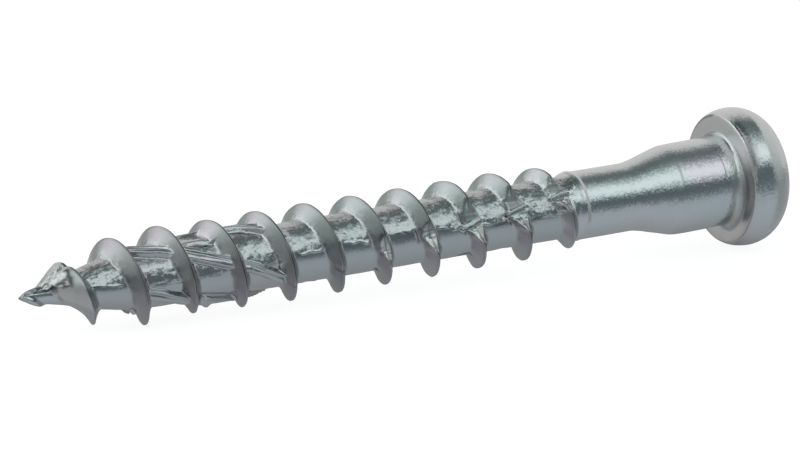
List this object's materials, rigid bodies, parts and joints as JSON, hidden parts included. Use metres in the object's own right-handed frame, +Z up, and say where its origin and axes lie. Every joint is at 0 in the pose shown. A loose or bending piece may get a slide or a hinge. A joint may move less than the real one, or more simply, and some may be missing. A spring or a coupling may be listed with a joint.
{
  "type": "connector screw",
  "caption": "Zinc-plated wood screw for fixing metal plates: coarse thread with gimlet point and reaming ribs, plain shank, cone to a full-size neck, low round head with six-lobe recess.",
  "frame": {"origin": "on the ground under the middle of the lying screw's box", "axes": "+X along the lying screw from point to head, +Z up; the screw's own axis rises 2.22 degrees towards the head, because the head is wider than the thread"},
  "size_m": [0.0428, 0.0074, 0.0074],
  "materials": {
    "zinc": "bright zinc plating on rolled steel, satin, slightly blue"
  },
  "bodies": {
    "root": {"connector_screw": "zinc"}
  },
  "joints": []
}
